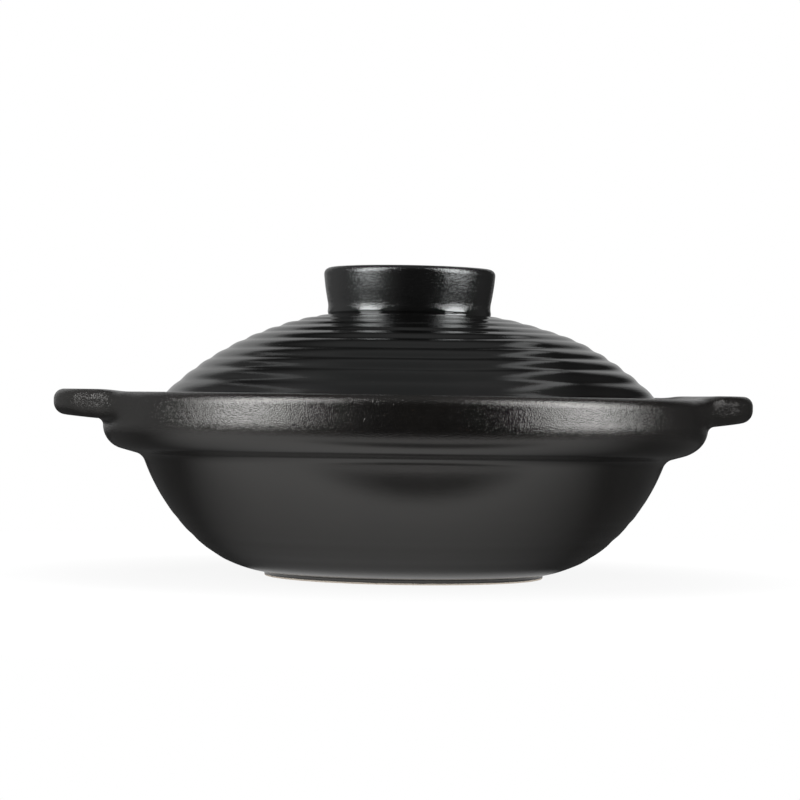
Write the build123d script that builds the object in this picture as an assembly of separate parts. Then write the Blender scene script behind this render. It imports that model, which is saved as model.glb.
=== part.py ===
from build123d import *
from math import asin, cos, sin
import os

# A donabe, a clay cooking pot: a wide bowl with a collar and two side lugs, and a ribbed domed lid.
# Millimetres, origin under the middle of the foot, +Z up, the lugs along X and the lid's vent at +Y.

# Foot and base
foot_radius = 61.5
foot_height = 1.3
foot_ring_width = 9.0
foot_recess = 2.0
base_thickness = 6.5
floor_inset = 5.6

# Bowl side
bowl_wall = 7.5
bowl_lift_angle = 6.5
haunch_shares = (0.535, 0.262)
crease_step = 4.5
crease_round = 2.5

# Collar and the ledge that carries the lid
collar_base_height = 53.8
collar_turn = 12.0
ledge_thickness = 10.0
ledge_width = 11.2
ledge_round = 2.0
rim_depth = 16.0
rim_wall = 10.5
rim_outer_round = 4.0
rim_inner_round = 3.0

# Lid
lid_radius = 120.2
lid_clearance = 2.8
lid_wall = 7.0
lid_edge_height = 1.9
lid_edge_round = 1.6
lid_seat_width = 7.4
crown_height = 116.6
crown_radius = 17.5

# Ribs round the lid
rib_count = 10
rib_depth = 0.5
rib_neck_margin = 6.7
rib_edge_margin = 10.4

# Ring knob
knob_height = 19.6
knob_radius = 38.3
knob_neck_radius = 35.4
knob_root_round = 2.0
knob_wall = 8.0
knob_lip_round = 3.0
knob_recess_depth = 18.0
knob_recess_taper = 2.0
knob_recess_round = 4.0

# Steam vent through the lid
vent_diameter = 8.0
vent_radius = 74.0

# Side lugs
lug_reach = 21.5
lug_tip_radius = 41.0
lug_root_round = 12.0
lug_rise = 1.8
lug_rise_run = 9.0
lug_root_thickness = 13.0
lug_tip_thickness = 11.0
lug_flat_width = 58.0
lug_fall_run = 18.0
lug_fall = 3.0
lug_flare = 5.0
lug_edge_round = 3.6
lug_sink = 0.6

# How far a cutting tool runs past what it cuts
overrun = 20.0

# The most of a wall that a rounding may take
round_limit_share = 0.45

# Heights and radii that follow from the sizes above
floor_height = foot_recess + base_thickness
ledge_height = collar_base_height + ledge_thickness
rim_height = ledge_height + rim_depth
collar_inner_radius = lid_radius + lid_clearance
collar_radius = collar_inner_radius + rim_wall
bowl_mouth_radius = collar_inner_radius - ledge_width
crease_radius = bowl_mouth_radius + crease_step
knob_top = crown_height + knob_height
lug_top = rim_height + lug_rise
lug_tip = collar_radius + lug_reach

# The dome is an arc that leaves the flat crown level and ends at the lid's edge
dome_run = lid_radius - crown_radius
dome_drop = crown_height - ledge_height - lid_edge_height
dome_radius = (dome_run**2 + dome_drop**2) / (2 * dome_drop)


def rounded(face, radius, height, size, *walls):
    """A half section with its corner nearest to a point rounded, no more than its walls allow."""
    corner = face.vertices().sort_by_distance((radius, height))[0]
    limit = min(walls) * round_limit_share
    return fillet(corner, min(size, limit))


def turned(section):
    """A half section, drawn as radius and height, turned about the pot's axis."""
    return revolve(Plane.XZ * section, Axis.Z)


def bowl_arcs(start, lift, haunch, end):
    """One side of the bowl: an arc from the base to the haunch, and a tangent one up to the collar."""
    lower = TangentArc(start, haunch, tangent=lift)
    upper = TangentArc(haunch, end, tangent=lower % 1)
    return lower, upper


def pot_section():
    """The half section of the pot without its lugs."""
    foot_edge = Vector(foot_radius, foot_height)
    crease = Vector(crease_radius, collar_base_height)
    climb = crease - foot_edge
    haunch = foot_edge + Vector(climb.X * haunch_shares[0], climb.Y * haunch_shares[1])
    lift = Vector(1, 0).rotate(Axis.Z, bowl_lift_angle)
    outside = bowl_arcs(foot_edge, lift, haunch, crease)

    inward = (outside[0] % 1).rotate(Axis.Z, 90)
    floor_edge = Vector(foot_radius - floor_inset, floor_height)
    mouth = Vector(bowl_mouth_radius, ledge_height)
    inside = bowl_arcs(floor_edge, Vector(1, 0), haunch + inward * bowl_wall, mouth)

    foot_inner_radius = foot_radius - foot_ring_width
    under = Polyline(
        (0, floor_height),
        (0, foot_recess),
        (foot_inner_radius, foot_recess),
        (foot_inner_radius, 0),
        (foot_radius, 0),
        foot_edge,
    )
    collar = Polyline(
        crease,
        (collar_radius, collar_base_height),
        (collar_radius, rim_height),
        (collar_inner_radius, rim_height),
        (collar_inner_radius, ledge_height),
        mouth,
    )
    floor = Line(floor_edge, (0, floor_height))
    face = make_face(Curve() + [under, *outside, collar, *inside, floor])

    overhang = collar_radius - crease_radius
    face = rounded(face, crease.X, crease.Y, crease_round, overhang)
    face = rounded(face, collar_radius, collar_base_height, collar_turn, 2 * overhang, 2 * rim_depth)
    face = rounded(face, collar_radius, rim_height, rim_outer_round, rim_wall, rim_depth)
    face = rounded(face, collar_inner_radius, rim_height, rim_inner_round, rim_wall, rim_depth)
    face = rounded(face, collar_inner_radius, ledge_height, ledge_round, ledge_width, rim_depth)
    return rounded(face, mouth.X, mouth.Y, ledge_round, ledge_width, ledge_thickness)


def lug_plan():
    """The lug seen from above: a round end that runs into the collar through a hollow on each side."""
    core_radius = collar_radius - lug_sink
    disc = Circle(core_radius) + Pos(lug_tip - lug_tip_radius, 0) * Circle(lug_tip_radius)
    roots = disc.vertices().filter_by(lambda v: abs(v.Y) > lug_sink)
    plan = fillet(roots, lug_root_round)
    half_width = lug_flat_width / 2 + lug_fall_run
    strip = Pos(lug_tip, 0) * Rectangle(2 * (lug_tip - collar_inner_radius + rim_wall), 2 * half_width)
    return plan & strip


def lug_under(radius):
    """The height of the lug's underside, which rises towards the tip as the lug thins."""
    root = lug_top - lug_root_thickness
    climb = (lug_root_thickness - lug_tip_thickness) / lug_reach
    return root + climb * (radius - collar_radius)


def lug_section():
    """The half section of the lug's slab, whose top rises off the rim."""
    inner = collar_inner_radius + rim_inner_round
    outer = lug_tip + overrun
    level = Vector(inner + lug_rise_run, lug_top)
    start = Vector(inner, rim_height - lug_sink)
    rise = TangentArc(level, start, tangent=(-1, 0))
    sides = Polyline(level, (outer, lug_top), (outer, lug_under(outer)), (inner, lug_under(inner)), start)
    return make_face(Curve() + [rise, sides])


def lug_flare_section():
    """The half section of the hollow flare that carries the lug's underside into the collar."""
    inner = collar_radius - lug_sink
    start = Vector(collar_radius + lug_flare, lug_under(collar_radius + lug_flare))
    end = Vector(inner, start.Y - lug_flare)
    inside_slab = start.Y + lug_flare
    hollow = TangentArc(start, end, tangent=(-1, 0))
    sides = Polyline(end, (inner, inside_slab), (start.X, inside_slab), start)
    return make_face(Curve() + [hollow, sides])


def lug_falls():
    """The two tools that let the lug's top fall back to the rim at its ends."""
    start = Vector(lug_flat_width / 2, lug_top)
    end = Vector(lug_flat_width / 2 + lug_fall_run, lug_top - lug_fall)
    fall = TangentArc(start, end, tangent=(1, 0))
    sides = Polyline(
        end,
        (end.X + overrun, end.Y),
        (end.X + overrun, lug_top + overrun),
        (start.X, lug_top + overrun),
        start,
    )
    profile = Plane.YZ * make_face(Curve() + [fall, sides])
    tool = extrude(profile, lug_tip + overrun)
    return tool + mirror(tool, Plane.XZ)


def lug():
    """The lug at +X: a rounded slab that rises a little above the rim, on a flare under its root."""
    slab = extrude(lug_plan(), lug_top + overrun) & turned(lug_section())
    tip_edges = slab.edges().filter_by(lambda e: (e @ 0.5).X > lug_tip - lug_sink)
    slab = fillet(tip_edges, min(lug_edge_round, lug_tip_thickness * round_limit_share))
    flare_plan = Pos(lug_tip - lug_tip_radius, 0) * Circle(lug_tip_radius - lug_edge_round)
    flare = extrude(flare_plan, lug_top) & turned(lug_flare_section())
    return slab - lug_falls() + flare


def pot_body():
    """The bowl, collar and both lugs, fired as one piece."""
    side = lug()
    return turned(pot_section()) + side + mirror(side, Plane.YZ)


def dome_point(angle, proud):
    """A point of the dome's half section, by its angle from upright and how far it stands proud."""
    radius = dome_radius + proud
    return Vector(crown_radius + radius * sin(angle), crown_height - dome_radius + radius * cos(angle))


def roll(start, end):
    """One rib: a round roll between two angles of the dome."""
    middle = (start + end) / 2
    return ThreePointArc(dome_point(start, 0), dome_point(middle, rib_depth), dome_point(end, 0))


def plain_band(start, end):
    """A stretch of the dome with no rib."""
    middle = (start + end) / 2
    return ThreePointArc(dome_point(start, 0), dome_point(middle, 0), dome_point(end, 0))


def dome_outside():
    """The dome from the knob's neck to the lid's edge: a plain band, the ribs and a plain band."""
    neck = asin((knob_neck_radius - crown_radius) / dome_radius)
    edge = asin(dome_run / dome_radius)
    first = neck + rib_neck_margin / dome_radius
    last = edge - rib_edge_margin / dome_radius
    pitch = (last - first) / rib_count
    grooves = [first + pitch * rib for rib in range(rib_count + 1)]
    ribs = [roll(start, end) for start, end in zip(grooves, grooves[1:])]
    return plain_band(neck, grooves[0]), *ribs, plain_band(grooves[-1], edge)


def lid_section():
    """The half section of the lid with its ring knob."""
    dome = dome_outside()
    inner_crown = Vector(crown_radius, crown_height - lid_wall)
    seat_inner = Vector(lid_radius - lid_seat_width, ledge_height)
    seat_outer = Vector(lid_radius, ledge_height)
    recess_radius = knob_radius - knob_wall
    recess_floor = knob_top - knob_recess_depth
    knob = Polyline(
        (0, inner_crown.Y),
        (0, recess_floor),
        (recess_radius - knob_recess_taper, recess_floor),
        (recess_radius, knob_top),
        (knob_radius, knob_top),
        dome[0] @ 0,
    )
    seat = Polyline(dome[-1] @ 1, seat_outer, seat_inner)
    under = TangentArc(inner_crown, seat_inner, tangent=(1, 0))
    ceiling = Line(inner_crown, (0, inner_crown.Y))
    face = make_face(Curve() + [knob, *dome, seat, under, ceiling])

    neck = dome[0] @ 0
    face = rounded(face, recess_radius - knob_recess_taper, recess_floor, knob_recess_round, recess_radius)
    face = rounded(face, recess_radius, knob_top, knob_lip_round, knob_wall, knob_height)
    face = rounded(face, knob_radius, knob_top, knob_lip_round, knob_wall, knob_height)
    face = rounded(face, neck.X, neck.Y, knob_root_round, rib_neck_margin, knob_height)
    face = rounded(face, seat_outer.X, seat_outer.Y, lid_edge_round, 2 * lid_edge_height, lid_seat_width)
    return rounded(face, seat_inner.X, seat_inner.Y, lid_edge_round, lid_seat_width)


def vent():
    """The round tool that cuts the steam vent straight down through the dome."""
    plan = Pos(0, vent_radius, ledge_height) * Circle(vent_diameter / 2)
    return extrude(plan, crown_height - ledge_height + overrun)


def lid():
    """The ribbed dome with its ring knob and vent, fired as one piece."""
    return turned(lid_section()) - vent()


os.makedirs("parts", exist_ok=True)
export_step(pot_body(), "parts/pot_body.step")
export_step(lid(), "parts/lid.step")
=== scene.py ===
import math

import bmesh
import bpy
import numpy as np
from mathutils import Matrix, Vector


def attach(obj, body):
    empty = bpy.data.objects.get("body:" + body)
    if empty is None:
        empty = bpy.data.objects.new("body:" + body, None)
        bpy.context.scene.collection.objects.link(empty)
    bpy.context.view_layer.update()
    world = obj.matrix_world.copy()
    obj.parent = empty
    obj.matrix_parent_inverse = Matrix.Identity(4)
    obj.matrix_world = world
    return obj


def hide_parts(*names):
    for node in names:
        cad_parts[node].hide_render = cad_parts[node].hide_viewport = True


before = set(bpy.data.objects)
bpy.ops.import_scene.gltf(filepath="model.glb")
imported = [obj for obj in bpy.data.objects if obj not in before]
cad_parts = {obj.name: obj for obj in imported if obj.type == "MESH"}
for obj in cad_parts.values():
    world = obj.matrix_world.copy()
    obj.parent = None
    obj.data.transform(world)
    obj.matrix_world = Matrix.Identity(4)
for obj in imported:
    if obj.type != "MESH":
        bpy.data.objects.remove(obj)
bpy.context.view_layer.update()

# Profiles are drawn in millimetres as radius and height, and the meshes are in metres. Angle 0 is
# at the right lug, and a quarter turn on is the back.
MM = 0.001
TURN = 2 * math.pi
POT_COLUMNS = 576
LID_COLUMNS = 480
FAN_RADIUS = 4.0  # the innermost ring, closed by a fan of triangles
SIDE_SHARE = 0.98  # how much of a side the roundings of its two corners may take up

# Foot and bowl
FOOT_RADIUS = 61.5
FOOT_RING_INNER = 52.5
FOOT_RECESS = 2.0
FOOT_HEIGHT = 1.9
FLOOR_RADIUS = 55.9
FLOOR_HEIGHT = 8.5
FLOOR_FAN = 3.0
BOWL_WALL = 7.5
BOWL_RISE = 6.5  # degrees above level at which the bowl leaves the foot
HAUNCH = (90.82, 15.06)  # where the bowl's two arcs meet
ARC_END = (116.3, 53.8)  # what the upper arc aims at, although it is cut off below it
ARC_CUT = 49.5  # from here up to the crease the bowl is straight
CREASE_HEIGHT = 52.5
CREASE_SWELL = (0.45, 1.6)  # how much further out and up the crease is at the front and back
RIGHT_SLACK = 0.6  # half of how much narrower the bowl is on the right
TURNING_MARKS = ((0.14, 7.3, 0.6), (0.06, 3.9, 0.0))  # heights, pitches and phases

# Collar and ledge
COLLAR_RADIUS = 133.35
COLLAR_INNER = 123.0
COLLAR_BASE = 57.2
CORNER_INSETS = (0.3, 1.5)  # how far the lower corner is drawn in, left and right
CORNER_REACHES = (9.3, 10.6)  # how far its rounding reaches at the front and back, and at the lugs
CORNER_LIFT = 1.3  # how much higher it is under the right lug
RIM = 79.8
RIM_WAVE = 0.10
RIM_RISE = 1.4  # how much higher the rim is at the back on the right
RIM_RISE_AT = 0.62  # where, in radians, and how far to each side
RIM_RISE_REACH = 0.95
LEDGE = 63.8
MOUTH = 111.8

# Lugs
LUG_TIP = 155.0
LUG_ROUND = 36.5
LUG_ROOTS = (110.0, 80.0)  # radii of the hollow roots, left and right
LUG_BLEND = 9.0  # how far out the section is all lug
LUG_TOP = 81.6
LUG_FALL = 3.0  # how much the top falls away, from how far off the middle, and over what run
LUG_FALL_FROM = 29.0
LUG_FALL_RUN = 18.0
LUG_UNDER = 67.9
LUG_UNDER_RISE = 2.7  # how much higher the underside is at the tip
LEFT_TOP_DROP = 0.9  # how much lower the left lug is above and below
LEFT_UNDER_DROP = 0.7

# Lid
DOME_CENTRE = 17.5
DOME_RADIUS = 128.94
DOME_RINGS = 118
CROWN = 116.6
LID_RADIUS = 120.2
LID_EDGE = 65.7
LID_WALL = 7.0
SEAT_INNER = 112.8
SEAT_END = 111.3  # where the seat's inner edge has met the dome's inside
INSIDE_FROM = 109.5  # the dome's inside has its own rings from here inwards
DOME_LEAN = 1.7  # how far to the right the dome leans, and how far the knob leans back
KNOB_LEANS_BACK = 0.9
VENT = (0.0, 74.0)
VENT_RADIUS = 4.0
VENT_LIP = 1.0
VENT_BLOCK = 9  # half the width, in cells, of the block that the vent's mouth is cut from

# Knob: each corner's radius, height, rounding's reach, rounding's steps and steps after it
NECK_RADIUS = 35.4
KNOB_TOP = 136.2
KNOB_FLOOR = 118.2
KNOB_WAVE = 0.10
KNOB_SINK = 0.16  # keeps the wavy top below KNOB_TOP
KNOB_CORNERS = (
    (FAN_RADIUS, KNOB_FLOOR, 0.0, 1, 8), (28.3, KNOB_FLOOR, 3.6, 7, 8), (30.3, KNOB_TOP, 3.0, 9, 2),
    (38.15, KNOB_TOP, 3.0, 10, 4), (37.45, 128.0, 4.5, 9, 3), (35.75, 118.9, 2.4, 11, 2),
    (36.2, 116.6, 0.5, 7, 2), (35.85, 114.8, 0.15, 3, 3))

# Crests of the lid's ribs, measured along the dome from upright, and how far each stands proud
RIB_CRESTS = (21.0, 29.2, 37.4, 45.9, 53.8, 62.2, 71.0, 78.6, 87.0, 96.0, 104.4, 112.6)
RIB_HEIGHTS = (0.36, 0.42, 0.48, 0.45, 0.46, 0.48, 0.50, 0.50, 0.46, 0.32, 0.18, 0.10)

# Glaze and clay
GRAIN_SIZE = 0.00042
CLAY_DARK = (0.76, 0.65, 0.54, 1)
CLAY_PALE = (0.90, 0.81, 0.70, 1)
CLAY_IRON = (0.13, 0.08, 0.05, 1)
CLAY_ROUGHNESS = 0.9

# Table top, in metres, its glow for the camera, and its painted glow and shade seen by the pot
TABLE_RADIUS = 0.42
TABLE_DROP = 0.0002
TABLE_DARK = (0.05, 0.05, 0.05, 1)
TABLE_PALE = (0.07, 0.07, 0.07, 1)
TABLE_WHITE_NEAR = 0.90
STRIP_FRONT = 0.56
STRIP_SHADED_NEAR = 0.02
SPOT_AT = (0.005, -0.148, 0.0)
SPOT_SCALE = (0.24, 1.0, 0.0)
SPOT_PAINTED_SHADE = 0.15
UNDER_FOOT_GLOW = 0.45

# Brightness of the room round the pot, in the glaze's reflections and as plain light
BACKDROP = 0.44
BACKDROP_RIGHT = 0.90
CEILING = 0.12
WALL_LEFT = 0.20
WALL_RIGHT = 0.06
RAIL_LEFT = 0.25
RAIL_RIGHT = 0.50
ROOM = 0.02
FILL = 0.16

# Camera: lens in millimetres, angles in degrees, place in metres, and the aim's offsets in pixels
LENS = 123.5
SENSOR = 36.0
FOCAL_PIXELS = 2745
CAMERA_AZIMUTH = -4.7
CAMERA_DISTANCE = 1.215
CAMERA_HEIGHT = 0.0753
CAMERA_ROLL = 0.87
PAN_PIXELS = 6.1
PITCH_PIXELS = 6


def smooth(x):
    """0 below 0, 1 above 1, and an even S between."""
    x = np.clip(x, 0.0, 1.0)
    return x * x * (3 - 2 * x)


def mix(a, b, share):
    return a + (b - a) * share


def arc(start, tangent, end, count):
    """Points of the arc that leaves start along tangent and ends at end."""
    start, end = np.array(start, float), np.array(end, float)
    tangent = np.array(tangent, float) / np.hypot(*tangent)
    normal = np.array((-tangent[1], tangent[0]))
    chord = end - start
    radius = chord @ chord / (2 * chord @ normal)
    centre = start + normal * radius
    first, last = start - centre, end - centre
    sweep = math.atan2(first[0] * last[1] - first[1] * last[0], first @ last)
    angles = np.linspace(0, sweep, count)
    turn = np.stack((np.cos(angles), np.sin(angles)), 1)
    x = first[0] * turn[:, 0] - first[1] * turn[:, 1]
    y = first[0] * turn[:, 1] + first[1] * turn[:, 0]
    return centre + np.stack((x, y), 1)


def line(start, end, count):
    share = np.linspace(0, 1, count)[:, None]
    return np.array(start, float) * (1 - share) + np.array(end, float) * share


def rounded(points, reaches, arc_steps, run_steps):
    """A path through corner points whose corners are round.

    points is (corners, angles, 2) and reaches (corners, angles): how far along its sides each
    corner's rounding goes. Every angle gets the same number of points, so neighbouring sections
    join into quads.
    """
    sides = np.diff(points, axis=0)
    lengths = np.linalg.norm(sides, axis=2)
    units = sides / np.maximum(lengths, 1e-9)[..., None]
    need = reaches[:-1] + reaches[1:]
    room = np.minimum(1.0, SIDE_SHARE * lengths / np.maximum(need, 1e-9))
    reach = reaches.copy()
    reach[1:-1] *= np.minimum(room[:-1], room[1:])
    path = [points[:1]]
    last = points[0]
    for i in range(1, len(points) - 1):
        before, after = units[i - 1], units[i]
        a = points[i] - before * reach[i][:, None]
        b = points[i] + after * reach[i][:, None]
        for step in range(1, run_steps[i - 1]):
            path.append(mix(last, a, step / run_steps[i - 1])[None])
        # This weight makes the rounding an arc of a circle
        weight = np.sqrt(np.maximum((1 + (before * after).sum(1)) / 2, 0.01))[:, None]
        for t in np.linspace(0, 1, arc_steps[i]):
            top = a * (1 - t) ** 2 + points[i] * (2 * weight * t * (1 - t)) + b * t * t
            path.append((top / ((1 - t) ** 2 + 2 * weight * t * (1 - t) + t * t))[None])
        last = b
    for step in range(1, run_steps[-1] + 1):
        path.append(mix(last, points[-1], step / run_steps[-1])[None])
    return np.concatenate(path)


def wander(angles, seed, waves, first=1):
    """A smooth closed wave round the pot, from -1 to 1 or so, with a fixed seed."""
    random = np.random.default_rng(seed)
    total = np.zeros_like(angles)
    for k in range(first, first + waves):
        total += np.cos(k * angles + random.uniform(0, TURN)) * random.normal() / math.sqrt(k)
    return total / math.sqrt(waves)


def add_object(name, data):
    piece = bpy.data.objects.new(name, data)
    bpy.context.scene.collection.objects.link(piece)
    return piece


def mesh_object(name, points, faces):
    """A mesh object from points in millimetres."""
    mesh = bpy.data.meshes.new(name)
    mesh.from_pydata((np.asarray(points) * MM).tolist(), [], faces)
    mesh.validate()
    mesh.update()
    return add_object(name, mesh)


def tidy_normals(piece):
    """Merges doubled points, makes every face look outwards and shades them smoothly."""
    work = bmesh.new()
    work.from_mesh(piece.data)
    bmesh.ops.remove_doubles(work, verts=work.verts, dist=1e-6)
    bmesh.ops.recalc_face_normals(work, faces=work.faces)
    work.to_mesh(piece.data)
    work.free()
    piece.data.polygons.foreach_set("use_smooth", [True] * len(piece.data.polygons))
    piece.data.update()


def ring_points(path, angles):
    """(stations, angles, 2) of radius and height to a list of points."""
    radius, height = path[..., 0], path[..., 1]
    points = np.stack((radius * np.cos(angles), radius * np.sin(angles), height), -1)
    return points.reshape(-1, 3)


def ring_faces(stations, count, skip=()):
    """Quads between neighbouring rings, apart from the skipped (station, angle) cells."""
    faces = []
    for i in range(stations - 1):
        low, high = i * count, (i + 1) * count
        for j in range(count):
            if (i, j) not in skip:
                k = (j + 1) % count
                faces.append((low + j, low + k, high + k, high + j))
    return faces


def fan_faces(end, count):
    """Fans that close the first and the last ring, round the two points numbered from end."""
    faces = []
    for j in range(count):
        k = (j + 1) % count
        faces.append((end, k, j))
        faces.append((end + 1, end - count + j, end - count + k))
    return faces


def lug_outline(angles, hollow_radius):
    """The pot's plan radius at each angle: the collar, and at each end of X a hollow-rooted lug."""
    centre = LUG_TIP - LUG_ROUND
    far = COLLAR_RADIUS + hollow_radius
    near = LUG_ROUND + hollow_radius
    x = (far**2 - near**2 + centre**2) / (2 * centre)
    y = math.sqrt(far**2 - x**2)
    root = math.atan2(y, x)
    join = math.atan2(y * LUG_ROUND / near, centre + (x - centre) * LUG_ROUND / near)
    fine = np.linspace(-math.pi / 2, math.pi / 2, 7201)
    turn = np.abs(fine)

    def half_chord(away, radius, turn):
        """Half of what a line from the axis cuts from a circle that stands away from it."""
        return np.sqrt(np.maximum(radius**2 - (away * np.sin(turn)) ** 2, 0))

    lug = centre * np.cos(turn) + half_chord(centre, LUG_ROUND, turn)
    hollow = far * np.cos(turn - root) - half_chord(far, hollow_radius, turn - root)
    plan = np.where(turn < join, lug, np.where(turn < root, hollow, COLLAR_RADIUS))
    # The joins are softened over about a degree, which is 40 samples
    width = 36
    spread = np.exp(-0.5 * (np.arange(-3 * width, 3 * width + 1) / width) ** 2)
    plan = np.convolve(np.pad(plan, 3 * width, mode="edge"), spread / spread.sum(), "valid")
    folded = np.arcsin(np.clip(np.sin(angles), -1, 1))
    return np.interp(folded, fine, plan)


def collar_path(angles, start, crease):
    """The pot's section at each angle, from the bowl over the collar or lug to the mouth."""
    right, front = np.cos(angles), np.sin(angles) ** 2
    left_plan, right_plan = (lug_outline(angles, root) for root in LUG_ROOTS)
    plan = np.where(right < 0, left_plan, right_plan)
    out = plan - COLLAR_RADIUS
    lug = smooth(out / LUG_BLEND)
    left = smooth(-right)
    across = np.abs(plan * np.sin(angles))
    fall = LUG_FALL * np.clip((across - LUG_FALL_FROM) / LUG_FALL_RUN, 0, 1.2) ** 2
    top = np.maximum(LUG_TOP - fall, RIM) * lug + RIM * (1 - lug) - LEFT_TOP_DROP * lug * left
    under = LUG_UNDER + LUG_UNDER_RISE * out / (LUG_TIP - COLLAR_RADIUS) - LEFT_UNDER_DROP * left
    off = angles - RIM_RISE_AT
    rise = RIM_RISE * smooth(1 - np.abs(np.arctan2(np.sin(off), np.cos(off))) / RIM_RISE_REACH)
    # The rise lifts nothing above the lugs' tops
    room = np.maximum(LUG_TOP + 0.1 - top, 0)
    wave = RIM_WAVE * wander(angles, seed=5, waves=5, first=2) + np.minimum(rise, room)
    shift = RIGHT_SLACK * (1 + right)
    inset = right**2 * mix(*CORNER_INSETS, (1 + right) / 2)
    corner = COLLAR_BASE + CORNER_LIFT * lug * smooth(right)
    one = np.ones_like(angles)

    def at(radius, height):
        return np.stack((radius * one, height * one), -1)

    # Each corner's place, its rounding's reach, its rounding's steps and the steps after it
    corners = [
        (at(start[0] - shift, start[1]), 0.0, 1, 3),
        (at(crease[0] - shift + CREASE_SWELL[0] * front, crease[1] + CREASE_SWELL[1] * front),
         2.8, 12, 2),
        (at(COLLAR_RADIUS - inset, corner), mix(*CORNER_REACHES, right**2), 18, 1),
        (at(COLLAR_RADIUS, mix(67.4, LUG_UNDER, lug)), mix(1.2, 3.6, lug), 9, 6),
        (at(plan - 0.45 * (1 - lug), mix(72.6, under, lug)), mix(3.0, 5.0, lug), 9, 5),
        (at(plan - 1.1 * (1 - lug), top + wave), mix(5.2, 4.4, lug), 12, 10),
        (at(mix(126.9, 134.0, lug), top + wave), mix(0.2, 4.0, lug), 5, 3),
        (at(126.6, RIM + wave), mix(0.2, 3.4, lug), 5, 2),
        (at(COLLAR_INNER, RIM + wave), 3.0, 9, 6),
        (at(COLLAR_INNER, LEDGE), 2.0, 6, 5),
        (at(MOUTH, LEDGE), 2.0, 6, 2),
        (at(MOUTH - 1.9, LEDGE - 4.4), 0.0, 1, 0),
    ]
    points, reaches, arc_steps, run_steps = zip(*corners)
    reaches = np.stack([reach * one for reach in reaches])
    return rounded(np.stack(points), reaches, arc_steps, run_steps[:-1])


def bowl_rings(height):
    """How far the turning marks near the foot stand proud."""
    marks = sum(
        size * np.cos(TURN * height / pitch + phase) for size, pitch, phase in TURNING_MARKS)
    return marks * smooth((height - 3.0) / 4.0) * smooth((38.0 - height) / 18.0)


def make_pot():
    """The bowl, collar and both lugs as one skin."""
    angles = np.arange(POT_COLUMNS) * TURN / POT_COLUMNS
    rise = math.radians(BOWL_RISE)
    lower = arc((FOOT_RADIUS, FOOT_HEIGHT), (math.cos(rise), math.sin(rise)), HAUNCH, 34)
    heading = lower[-1] - lower[-2]
    upper = arc(HAUNCH, heading, ARC_END, 46)
    upper = upper[upper[:, 1] < ARC_CUT]
    last = upper[-1] - upper[-2]
    crease = upper[-1] + last * (CREASE_HEIGHT - upper[-1][1]) / last[1]
    foot = np.array([
        (FAN_RADIUS, FOOT_RECESS), (FOOT_RING_INNER, FOOT_RECESS), (FOOT_RING_INNER, 0),
        (FOOT_RADIUS, 0), (FOOT_RADIUS, FOOT_HEIGHT), tuple(lower[3])])[:, None]
    foot_reaches = np.array([0, 1.6, 0.7, 0.5, 1.0, 0])[:, None]
    under = rounded(foot, foot_reaches, [1, 5, 4, 5, 5, 1], [12, 1, 6, 2, 2])[:, 0]
    outside = np.concatenate((under, lower[4:], upper[1:]))

    inward = np.array((-heading[1], heading[0])) / np.hypot(*heading) * BOWL_WALL
    haunch_in = np.array(HAUNCH) + inward
    floor_edge = (FLOOR_RADIUS, FLOOR_HEIGHT)
    inner_low = arc(floor_edge, (1, 0), haunch_in, 24)
    inner_high = arc(haunch_in, inner_low[-1] - inner_low[-2], (MOUTH, LEDGE), 32)
    floor = line(floor_edge, (FLOOR_FAN, FLOOR_HEIGHT), 16)
    inside = np.concatenate((inner_high[:-3][::-1], inner_low[:-1][::-1], floor[1:]))

    out = np.repeat(outside[:, None], POT_COLUMNS, 1)
    out[..., 0] += bowl_rings(out[..., 1]) * (1 + 0.3 * wander(angles, seed=8, waves=5))
    collar = collar_path(angles, outside[-1], crease)
    path = np.concatenate((out, collar[1:-1], np.repeat(inside[:, None], POT_COLUMNS, 1)))
    girth = 1 + 0.0003 * wander(angles, seed=3, waves=4, first=2)
    path[..., 0] *= mix(1.0, girth, smooth((path[..., 1] - 2.0) / 20.0))
    slack = smooth((outside[:, 1] - 0.7) / 4.5)[:, None]
    path[:len(outside), :, 0] -= RIGHT_SLACK * slack * (1 + np.cos(angles))

    points = ring_points(path, angles)
    faces = ring_faces(len(path), POT_COLUMNS) + fan_faces(len(points), POT_COLUMNS)
    points = np.concatenate((points, [(0, 0, FOOT_RECESS), (0, 0, FLOOR_HEIGHT)]))
    return mesh_object("pot_glazed_body", points, faces)


def rib_wave(along, angles):
    """How far the lid's ribs stand off the dome at a length along it and an angle."""
    crests, heights = np.array(RIB_CRESTS), np.array(RIB_HEIGHTS)
    swing = along + 0.28 * wander(angles, seed=11, waves=4)
    swing = swing + 0.12 * wander(angles + along * 0.05, seed=12, waves=6, first=2)
    phase = np.interp(swing, crests, np.arange(len(crests)))
    height = np.interp(swing, crests, heights)
    height = height * (1 + 0.14 * wander(angles + 0.6 * phase, seed=13, waves=4))
    wave = 0.5 * np.cos(TURN * phase) - 0.06 * np.cos(2 * TURN * phase)
    fade = smooth((swing - crests[0] + 2.2) / 4.0) * smooth((crests[-1] + 4.0 - swing) / 4.0)
    return height * wave * fade


def dome_points(along, angles):
    """Radius and height of the dome's outside at a length along it."""
    turn = along / DOME_RADIUS
    radius = DOME_RADIUS + rib_wave(along, angles)
    height = CROWN - DOME_RADIUS + radius * np.cos(turn)
    return np.stack((DOME_CENTRE + radius * np.sin(turn), height), -1)


def dome_length(radius):
    """The length along the plain dome to a radius."""
    return DOME_RADIUS * np.arcsin((radius - DOME_CENTRE) / DOME_RADIUS)


def outer_dome(radius, angles):
    """Height of the dome's outside, ribs and all, at a radius and an angle."""
    return dome_points(dome_length(radius), angles)[:, 1]


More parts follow.
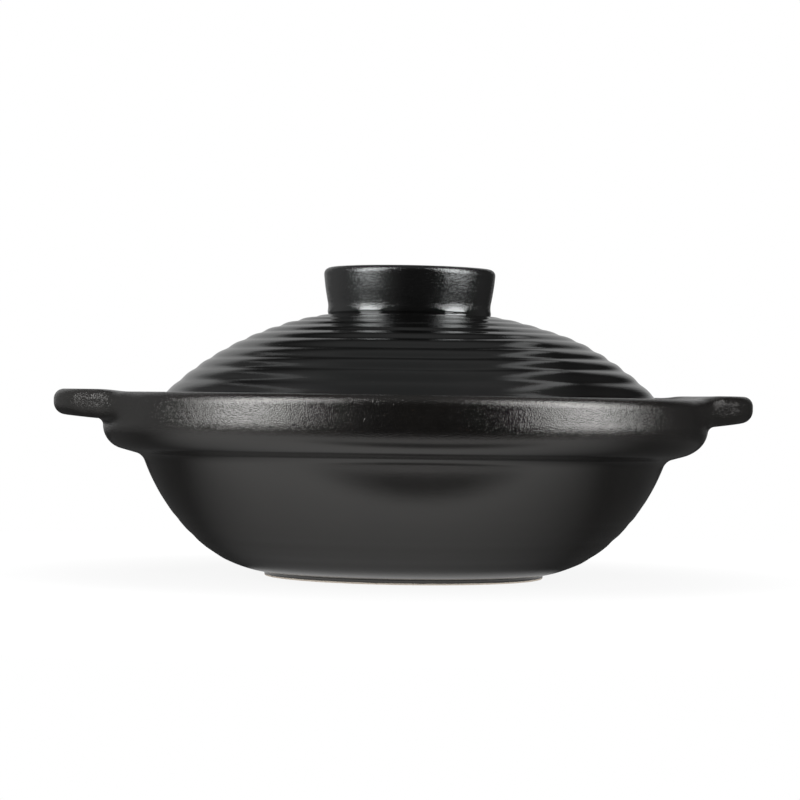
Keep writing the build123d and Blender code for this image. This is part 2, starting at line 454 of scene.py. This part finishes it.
def inner_dome(radius):
    """Height of the dome's inside at a radius."""
    run, drop = SEAT_INNER - DOME_CENTRE, CROWN - LID_WALL - LEDGE
    bend = (run**2 + drop**2) / (2 * drop)
    return CROWN - LID_WALL - bend + np.sqrt(bend**2 - np.maximum(radius - DOME_CENTRE, 0) ** 2)


def knob_path(angles, dome):
    """The knob's section at each angle, from near the axis to just before the dome's first ring."""
    one = np.ones_like(angles)
    wave = KNOB_WAVE * wander(angles, seed=21, waves=4)
    points = []
    for radius, height, _, _, _ in KNOB_CORNERS:
        lift = wave - KNOB_SINK if height == KNOB_TOP else 0
        points.append(np.stack((radius * one, height * one + lift), -1))
    reaches = np.stack([corner[2] * one for corner in KNOB_CORNERS] + [0 * one])
    arc_steps = [corner[3] for corner in KNOB_CORNERS] + [1]
    run_steps = [corner[4] for corner in KNOB_CORNERS]
    return rounded(np.stack(points + [dome]), reaches, arc_steps, run_steps)[:-1]


def seat_path(angles, dome):
    """The lid's edge and seat at each angle, from just after the dome's last ring to the inside."""
    corners = [dome, (LID_RADIUS, LID_EDGE), (LID_RADIUS, LEDGE), (SEAT_INNER, LEDGE),
               (SEAT_END, inner_dome(SEAT_END))]
    shape = (len(angles), 2)
    points = np.stack([np.broadcast_to(np.array(corner, float), shape) for corner in corners])
    reaches = np.array([0, 1.0, 0.85, 1.2, 0])[:, None] * np.ones_like(angles)
    return rounded(points, reaches, [1, 6, 5, 6, 1], [2, 1, 6, 2])[1:]


def vent_loops(outline, inline):
    """Loops of points from the block's outline on the outer skin down the bore to the inner one."""
    hole = np.array(VENT)
    mouth = VENT_RADIUS + VENT_LIP

    def loop(block, share, outside):
        """Points between the block's outline and the vent's mouth, on one skin."""
        flat = block[:, :2]
        away = flat - hole
        around = hole + mouth * away / np.linalg.norm(away, axis=1)[:, None]
        flat = mix(flat, around, share)
        reach, turn = np.hypot(flat[:, 0], flat[:, 1]), np.arctan2(flat[:, 1], flat[:, 0])
        height = outer_dome(reach, turn) if outside else inner_dome(reach)
        return np.column_stack((flat, height))

    def lip(edge, turn, way):
        """Points of the rounding between the mouth, at turn 0, and the bore, at turn 1."""
        angle = turn * math.pi / 2
        radius = VENT_RADIUS + VENT_LIP * (1 - math.sin(angle))
        flat = hole + (edge[:, :2] - hole) * radius / mouth
        return np.column_stack((flat, edge[:, 2] + way * VENT_LIP * (1 - math.cos(angle))))

    shares = (0.2, 0.4, 0.6, 0.8, 1.0)
    outer = [loop(outline, share, True) for share in shares]
    inner = [loop(inline, share, False) for share in reversed(shares)]
    upper_lip = [lip(outer[-1], turn, -1) for turn in (0.25, 0.5, 0.75, 1.0)]
    lower_lip = [lip(inner[0], turn, 1) for turn in (0.75, 0.5, 0.25)]
    bore_top = upper_lip[-1]
    bore_end = np.column_stack((bore_top[:, :2], inner[0][:, 2] + VENT_LIP))
    bore = [mix(bore_top, bore_end, share) for share in (0.33, 0.66)] + [bore_end]
    return outer + upper_lip + bore + lower_lip + inner


def lean(points):
    """Leans the dome and the knob to the right and lifts the dome's right half by up to 1 mm."""
    height = points[:, 2].copy()
    right = smooth(points[:, 0] / 60.0)
    points[:, 2] += right * smooth((height - 68.0) / 10.0) * smooth((111.0 - height) / 8.0)
    dome, knob = smooth((height - LEDGE - 2.0) / 16.0), smooth((height - 108.0) / 10.0)
    points[:, 0] += DOME_LEAN * dome - KNOB_LEANS_BACK * knob


def make_lid():
    """The ribbed dome with its ring knob and steam vent as one skin."""
    count = LID_COLUMNS
    angles = np.arange(count) * TURN / count
    alongs = np.linspace(dome_length(NECK_RADIUS) + 3.6, dome_length(LID_RADIUS) - 2.2, DOME_RINGS)
    dome = dome_points(alongs[:, None], np.broadcast_to(angles, (DOME_RINGS, count)))
    knob = knob_path(angles, dome[0])
    seat = seat_path(angles, dome[-1])
    outer_radii = DOME_CENTRE + DOME_RADIUS * np.sin(alongs / DOME_RADIUS)
    radii = outer_radii[outer_radii < INSIDE_FROM][::-1]
    radii = np.concatenate((radii, np.linspace(radii[-1], FAN_RADIUS, 14)[1:]))
    inner = np.repeat(np.stack((radii, inner_dome(radii)), -1)[:, None], count, 1)
    path = np.concatenate((knob, dome, seat, inner))

    # The vent: a block of cells is left out of both skins, and a round, vertical bore joins them
    outer_first, inner_first = len(knob), len(knob) + len(dome) + len(seat)
    middle = int(np.argmin(np.abs(outer_radii - VENT[1])))
    low, high = middle - VENT_BLOCK, middle + VENT_BLOCK
    left, right = count // 4 - VENT_BLOCK, count // 4 + VENT_BLOCK
    inner_high = inner_first + int(np.argmin(np.abs(radii - outer_radii[low])))
    inner_low = inner_first + int(np.argmin(np.abs(radii - outer_radii[high])))
    skip = {(outer_first + i, j) for i in range(low, high) for j in range(left, right)}
    skip |= {(i, j) for i in range(inner_low, inner_high) for j in range(left, right)}

    def border(first, last):
        """The numbers of the block's outline, the same way round on both skins."""
        down, up = (np.linspace(a, b, 2 * VENT_BLOCK + 1).astype(int)[:-1]
                    for a, b in ((first, last), (last, first)))
        cells = [(first, j) for j in range(left, right)] + [(i, right) for i in down]
        cells += [(last, j) for j in range(right, left, -1)] + [(i, left) for i in up]
        return [i * count + j for i, j in cells]

    points = ring_points(path, angles)
    end = len(points)
    faces = ring_faces(len(path), count, skip) + fan_faces(end, count)
    poles = [(0, 0, KNOB_FLOOR), (0, 0, CROWN - LID_WALL)]
    outline = border(outer_first + low, outer_first + high)
    inline = border(inner_high, inner_low)
    loops = vent_loops(points[outline], points[inline])
    size = len(outline)
    base = end + len(poles)
    chain = [list(range(base + n * size, base + (n + 1) * size)) for n in range(len(loops))]
    chain = [outline] + chain + [inline]
    for one, other in zip(chain, chain[1:]):
        for k in range(size):
            m = (k + 1) % size
            faces.append((one[k], one[m], other[m], other[k]))
    points = np.concatenate([points, poles] + loops)
    lean(points)

    # Points inside the left-out blocks belong to no face and are dropped
    used = np.zeros(len(points), bool)
    used[[v for face in faces for v in face]] = True
    renumber = np.cumsum(used) - 1
    faces = [tuple(int(renumber[v]) for v in face) for face in faces]
    return mesh_object("lid_ribbed_dome", points[used], faces)


class Nodes:
    """A short way to write a node tree."""

    def __init__(self, tree):
        self.tree = tree
        self.tree.nodes.clear()

    def add(self, kind, inputs=None, **settings):
        node = self.tree.nodes.new(kind)
        for name, value in settings.items():
            setattr(node, name, value)
        for name, value in (inputs or {}).items():
            socket = node.inputs[name]
            if isinstance(value, bpy.types.NodeSocket):
                self.tree.links.new(value, socket)
            else:
                socket.default_value = value
        return node

    def math(self, operation, a, b=0.0):
        return self.add("ShaderNodeMath", {0: a, 1: b}, operation=operation).outputs[0]

    def chain(self, operation, values):
        result = values[0]
        for value in values[1:]:
            result = self.math(operation, result, value)
        return result

    def sum(self, *values):
        return self.chain("ADD", values)

    def product(self, *values):
        return self.chain("MULTIPLY", values)

    def less(self, a, b):
        return self.math("SUBTRACT", a, b)

    def vector(self, operation, a, b=None):
        inputs = {0: a} if b is None else {0: a, 1: b}
        node = self.add("ShaderNodeVectorMath", inputs, operation=operation)
        return node.outputs["Value" if operation == "LENGTH" else "Vector"]

    def ramp(self, value, start, end, low=0.0, high=1.0):
        inputs = {
            "Value": value, "From Min": start, "From Max": end, "To Min": low, "To Max": high}
        node = self.add("ShaderNodeMapRange", inputs, interpolation_type="SMOOTHSTEP")
        return node.outputs["Result"]

    def noise(self, vector, scale, detail=2.0, roughness=0.5, distortion=0.0):
        inputs = {"Vector": vector, "Scale": scale, "Detail": detail, "Roughness": roughness,
                  "Distortion": distortion}
        return self.add("ShaderNodeTexNoise", inputs).outputs["Fac"]

    def blend(self, factor, a, b):
        """A mix of two colours. The Mix node's sockets 6, 7 and 2 are the ones for colour."""
        return self.add("ShaderNodeMix", {0: factor, 6: a, 7: b}, data_type="RGBA").outputs[2]


def clay_mask(n, clay_parts, z, radius, wavy):
    """1 where clay_parts leaves the clay bare: below a height, or in a band of both measures."""
    masks = []
    for kind, a, b in clay_parts:
        if kind == "below":
            level = n.sum(a, n.product(n.less(wavy, 0.5), b))
            masks.append(n.ramp(n.less(z, level), -0.00005, 0.00005, 1.0, 0.0))
        else:
            flat = n.ramp(n.math("ABSOLUTE", n.less(z, a[0])), a[1] * 0.7, a[1], 1.0, 0.0)
            ring = n.ramp(n.math("ABSOLUTE", n.less(radius, b[0])), b[1] * 0.94, b[1], 1.0, 0.0)
            masks.append(n.product(flat, ring))
    return n.chain("MAXIMUM", masks)


def glaze(name, dark, pale, thin, roughness, rough_high, grain, grain_from, streak, clay_parts, ior,
          tint):
    """Fired black glaze with its grain and fine turning streaks, and bare clay where it stops.

    rough_high is added to roughness above the height grain_from, where the grain is at its full
    strength. Each of clay_parts is a height and its wander, or the middles and half widths of a
    height and a radius.
    """
    material = bpy.data.materials.new(name)
    material.use_nodes = True
    n = Nodes(material.node_tree)
    place = n.add("ShaderNodeTexCoord").outputs["Object"]
    x, y, z = n.add("ShaderNodeSeparateXYZ", {0: place}).outputs
    flat = n.add("ShaderNodeCombineXYZ", {"X": x, "Y": y, "Z": 0.0}).outputs[0]
    radius = n.vector("LENGTH", flat)

    # Turning streaks: noise that is long round the pot and fine along its profile
    turned = n.vector("NORMALIZE", flat)
    scaled = n.add("ShaderNodeVectorMath", {0: turned, "Scale": 0.016}, operation="SCALE")
    deep = n.less(z, n.product(radius, 0.7))
    up = n.add("ShaderNodeCombineXYZ", {"X": 0.0, "Y": 0.0, "Z": deep}).outputs[0]
    streaks = n.noise(n.vector("ADD", scaled.outputs["Vector"], up), 620.0, 3.0, 0.6)

    # The grain keeps a sixth of its strength below grain_from
    high = n.ramp(z, grain_from, grain_from + 0.002, 0.16, 1.0)
    fine = n.product(n.noise(place, 1 / GRAIN_SIZE, 0.0), high)
    mottle = n.noise(place, 260.0, 3.0, 0.6)
    cloud = n.noise(place, 24.0, 3.0, 0.55, 0.6)
    body = n.blend(n.ramp(cloud, 0.35, 0.68), dark, pale)
    speck = n.ramp(n.noise(place, 900.0, 1.0), 0.70, 0.80)
    body = n.blend(speck, body, thin)
    rough = n.sum(n.product(high, rough_high), roughness,
                  n.product(n.less(mottle, 0.5), 0.10), n.product(n.less(cloud, 0.5), 0.06))

    bare = clay_mask(n, clay_parts, z, radius, n.noise(flat, 95.0, 4.0, 0.7))
    sand = n.noise(place, 1500.0, 3.0, 0.7)
    clay = n.blend(n.ramp(sand, 0.3, 0.7), CLAY_DARK, CLAY_PALE)
    iron = n.ramp(n.noise(place, 1100.0, 1.0), 0.72, 0.78)
    clay = n.blend(iron, clay, CLAY_IRON)
    colour = n.blend(bare, body, clay)
    rough = n.sum(n.product(rough, n.less(1.0, bare)), n.product(bare, CLAY_ROUGHNESS))

    # Relief in tenths of a millimetre. The glaze ends in a step down to the clay.
    relief = n.sum(
        n.product(fine, grain), n.product(streaks, streak), n.product(mottle, 0.10 * grain),
        n.product(sand, bare, 2.0), n.product(bare, -3.0))
    bump = n.add("ShaderNodeBump", {"Height": relief, "Distance": 0.0001, "Strength": 1.0})
    shader = n.add("ShaderNodeBsdfPrincipled", {
        "Base Color": colour, "Roughness": rough, "IOR": ior, "Specular Tint": tint,
        "Normal": bump.outputs[0]})
    n.add("ShaderNodeOutputMaterial", {"Surface": shader.outputs[0]})
    return material


def make_floor():
    """A round, pale table top, white to the camera but for the pot's shadow.

    In reflections and as light on the pot it glows with painted light: a strip in front of the pot
    that fades into painted shade towards the pot and to the right, with a painted shade spot in it,
    and a painted glow under the foot.
    """
    outline = []
    for step in range(96):
        a = step * TURN / 96
        outline.append((TABLE_RADIUS * math.cos(a), TABLE_RADIUS * math.sin(a), -TABLE_DROP))
    mesh = bpy.data.meshes.new("table_top")
    mesh.from_pydata(outline, [], [tuple(range(len(outline)))])
    mesh.update()
    floor = add_object("table_top", mesh)
    material = bpy.data.materials.new("pale_table")
    material.use_nodes = True
    n = Nodes(material.node_tree)
    place = n.add("ShaderNodeTexCoord").outputs["Object"]
    away = n.vector("LENGTH", place)
    seen = n.add("ShaderNodeLightPath").outputs["Is Camera Ray"]
    x, y, _ = n.add("ShaderNodeSeparateXYZ", {0: place}).outputs
    tone = n.blend(n.noise(place, 6.0, 2.0), TABLE_DARK, TABLE_PALE)
    lit = n.add("ShaderNodeBsdfDiffuse", {"Color": tone})
    # Painted light strip for reflections, fading to painted shade near the pot and on the right
    slant = n.sum(y, n.product(x, 0.2))
    strip = n.product(
        n.ramp(slant, -0.150, -0.015, STRIP_FRONT, STRIP_SHADED_NEAR), n.ramp(y, -0.255, -0.165))
    # A painted shade spot in the glowing strip
    spot = n.vector("MULTIPLY", n.vector("SUBTRACT", place, SPOT_AT), SPOT_SCALE)
    spot = n.vector("LENGTH", spot)
    strip = n.product(strip, n.ramp(spot, 0.005, 0.028, SPOT_PAINTED_SHADE, 1.0))
    # Non-camera glow, with a painted light disc under the foot that also lights the bare foot
    painted_glow = n.sum(strip, n.ramp(away, 0.062, 0.072, UNDER_FOOT_GLOW, 0.0))
    white = n.ramp(away, 0.10, 0.24, TABLE_WHITE_NEAR, 1.0)
    lift = n.sum(n.product(seen, white), n.product(n.less(1.0, seen), painted_glow))
    glow = n.add("ShaderNodeEmission", {"Color": (1, 1, 1, 1), "Strength": lift})
    both = n.add("ShaderNodeAddShader", {0: lit.outputs[0], 1: glow.outputs[0]})
    n.add("ShaderNodeOutputMaterial", {"Surface": both.outputs[0]})
    floor.data.materials.append(material)


def make_world():
    """White for the camera, and for reflections a dim room with a backdrop behind the pot."""
    world = bpy.data.worlds.new("studio")
    bpy.context.scene.world = world
    world.use_nodes = True
    n = Nodes(world.node_tree)
    way = n.add("ShaderNodeTexCoord").outputs["Generated"]
    x, y, z = n.add("ShaderNodeSeparateXYZ", {0: way}).outputs
    path = n.add("ShaderNodeLightPath").outputs
    glossy, seen = path["Is Glossy Ray"], path["Is Camera Ray"]

    # The backdrop ends about 30 degrees above level, and is a little dimmer on the right
    backdrop = n.product(
        n.ramp(n.math("ABSOLUTE", x), 0.50, 0.28), n.ramp(y, 0.1, 0.4),
        n.ramp(z, 0.62, 0.46), n.ramp(z, -0.10, 0.02), n.ramp(x, 0.0, 0.3, 1.0, BACKDROP_RIGHT))
    above = n.product(n.ramp(z, 0.66, 0.92), CEILING)
    walls = n.sum(n.ramp(x, -0.2, -0.8, 0.0, WALL_LEFT), n.ramp(x, 0.5, 0.95, 0.0, WALL_RIGHT))

    # Two narrow lights high up behind the pot
    leans = n.math("DIVIDE", x, n.math("MAXIMUM", z, 0.3))
    right = n.product(n.ramp(leans, 0.40, 0.47), n.ramp(leans, 0.62, 0.55, 0.0, RAIL_RIGHT))
    left = n.product(n.ramp(leans, -0.50, -0.55), n.ramp(leans, -0.65, -0.60, 0.0, RAIL_LEFT))
    rails = n.product(n.sum(left, right), n.product(n.ramp(z, 0.55, 0.66), n.ramp(y, -0.1, 0.15)))

    room = n.sum(n.product(backdrop, BACKDROP), n.sum(above, rails), n.sum(walls, ROOM))
    rest = n.less(1.0, n.math("MAXIMUM", glossy, seen))
    strength = n.sum(n.product(glossy, room), n.product(rest, FILL), seen)
    ground = n.add("ShaderNodeBackground", {"Color": (1, 1, 1, 1), "Strength": strength})
    n.add("ShaderNodeOutputWorld", {"Surface": ground.outputs[0]})


def softbox(name, azimuth, distance, height, tilt, width, length, radiance):
    """A tall soft lamp that faces the pot. Azimuth 0 is in front, and positive is to the right."""
    lamp = bpy.data.lights.new(name, "AREA")
    lamp.shape = "RECTANGLE"
    lamp.size, lamp.size_y = width, length
    lamp.energy = radiance * math.pi * width * length
    a, t = math.radians(azimuth), math.radians(tilt)
    light = add_object(name, lamp)
    light.location = (distance * math.sin(a), -distance * math.cos(a), height)
    back = Vector((math.sin(a) * math.cos(t), -math.cos(a) * math.cos(t), math.sin(t)))
    light.rotation_euler = back.to_track_quat("Z", "Y").to_euler()
    light.visible_camera = False


def make_camera():
    """A long lens a little under the rim's level, slightly turned and rolled as in the photo."""
    camera = bpy.data.cameras.new("camera")
    camera.lens, camera.sensor_width = LENS, SENSOR
    camera.clip_start, camera.clip_end = 0.05, 50.0
    eye = add_object("camera", camera)
    azimuth = math.radians(CAMERA_AZIMUTH)
    eye.location = (math.sin(azimuth) * CAMERA_DISTANCE, -math.cos(azimuth) * CAMERA_DISTANCE,
                    CAMERA_HEIGHT)
    pan, pitch = math.atan(PAN_PIXELS / FOCAL_PIXELS), math.atan(PITCH_PIXELS / FOCAL_PIXELS)
    turn = Matrix.Rotation(azimuth + pan, 4, "Z") @ Matrix.Rotation(math.pi / 2 + pitch, 4, "X")
    turn = turn @ Matrix.Rotation(math.radians(CAMERA_ROLL), 4, "Z")
    eye.rotation_euler = turn.to_euler()
    bpy.context.scene.camera = eye


pot = make_pot()
lid = make_lid()
for piece in (pot, lid):
    tidy_normals(piece)

pot_glaze = glaze(
    "satin_black_glaze",
    dark=(0.0034, 0.0030, 0.0027, 1), pale=(0.0062, 0.0056, 0.0050, 1),
    thin=(0.020, 0.014, 0.011, 1),
    roughness=0.19, rough_high=0.0, grain=1.35, grain_from=0.0610, streak=0.30,
    clay_parts=[("below", 0.00075, 0.0005), ("band", (0.0638, 0.0004), (0.1176, 0.0052))],
    ior=1.85, tint=(1, 0.985, 0.96, 1))
lid_glaze = glaze(
    "smooth_black_glaze",
    dark=(0.0028, 0.0028, 0.0028, 1), pale=(0.0050, 0.0049, 0.0048, 1),
    thin=(0.012, 0.010, 0.009, 1),
    roughness=0.025, rough_high=0.14, grain=1.10, grain_from=0.1165, streak=0.50,
    clay_parts=[("band", (0.0638, 0.0005), (0.1164, 0.0036))],
    ior=1.90, tint=(0.97, 1.0, 1.0, 1))
pot.data.materials.append(pot_glaze)
lid.data.materials.append(lid_glaze)

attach(pot, "pot")
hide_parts("pot_body")
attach(lid, "lid")
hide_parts("lid")

make_floor()
make_world()
softbox("softbox_left", azimuth=-63.0, distance=0.85, height=0.65, tilt=15.0, width=0.50,
        length=1.10, radiance=6.4)
softbox("softbox_right", azimuth=63.0, distance=0.85, height=0.61, tilt=15.0, width=0.54,
        length=1.06, radiance=6.2)
make_camera()
bpy.context.scene.view_settings.view_transform = "Standard"
